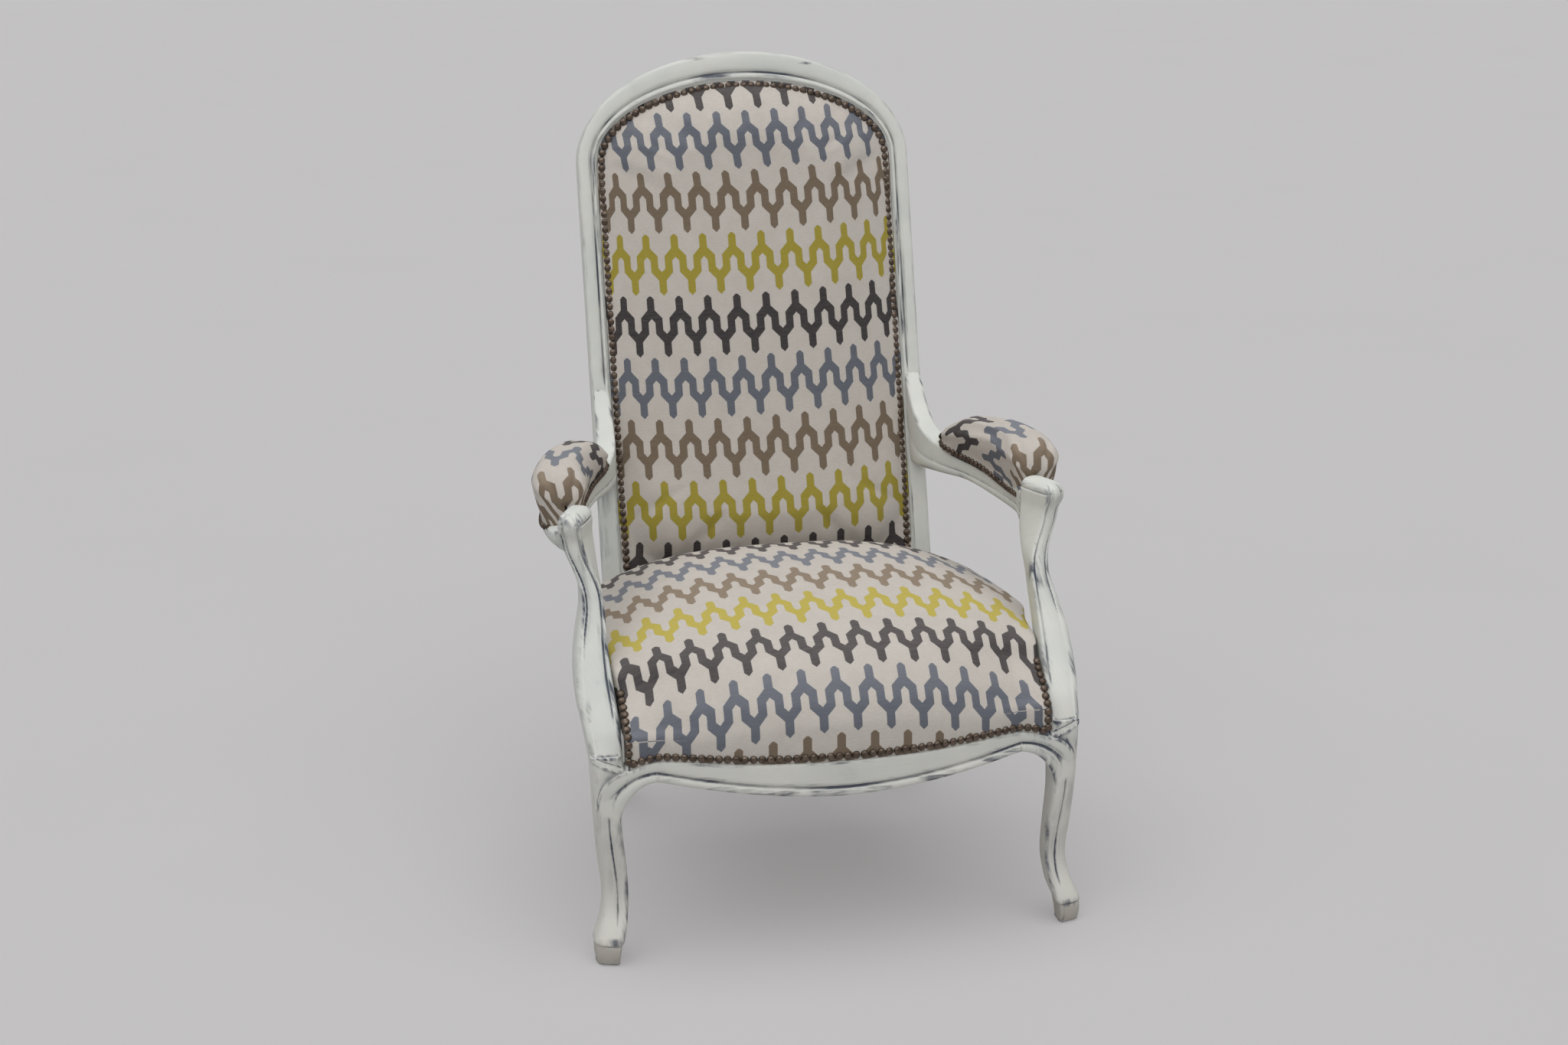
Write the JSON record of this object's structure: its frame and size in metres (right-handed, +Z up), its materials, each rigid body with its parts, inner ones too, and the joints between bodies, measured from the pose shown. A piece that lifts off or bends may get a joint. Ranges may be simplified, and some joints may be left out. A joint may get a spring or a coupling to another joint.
{
  "type": "voltaire armchair",
  "caption": "High-backed upholstered armchair with a raked arched back, padded swept arms, cabriole front legs, a beaded serpentine front rail and a stuffed seat.",
  "frame": {"origin": "on the floor under the middle of the bounding box", "axes": "+Z up, the chair faces -Y, +X towards the right of the picture"},
  "size_m": [0.7076, 0.7428, 1.0941],
  "materials": {
    "painted_wood": "worn satin off-white paint over a dark blue undercoat",
    "bare_wood": "bare beech",
    "zigzag_fabric": "woven fabric with zigzag stripes",
    "jute": "coarse woven webbing",
    "stuffing": "fibre stuffing",
    "lining": "plain lining cloth"
  },
  "bodies": {
    "root": {"back_post_left": "painted_wood", "back_post_right": "painted_wood", "crest_rail": "painted_wood", "back_lower_rail": "painted_wood", "seat_back_rail": "painted_wood", "seat_front_rail": "painted_wood", "seat_side_rail_left": "painted_wood", "seat_side_rail_right": "painted_wood", "front_leg_left": "painted_wood", "front_leg_right": "painted_wood", "arm_support_left": "painted_wood", "arm_support_right": "painted_wood", "arm_left": "painted_wood", "arm_right": "painted_wood", "crest_dowel_left": "bare_wood", "crest_dowel_right": "bare_wood", "support_dowel_left": "bare_wood", "support_dowel_right": "bare_wood", "arm_head_dowel_left": "bare_wood", "arm_head_dowel_right": "bare_wood", "arm_root_dowel_left": "bare_wood", "arm_root_dowel_right": "bare_wood", "seat_cover": "zigzag_fabric", "back_cover": "zigzag_fabric", "arm_pad_left": "zigzag_fabric", "arm_pad_right": "zigzag_fabric", "seat_webbing": "jute", "back_webbing": "jute", "seat_stuffing": "stuffing", "back_stuffing": "stuffing", "seat_bottom_cloth": "lining", "back_lining": "lining"}
  },
  "joints": []
}
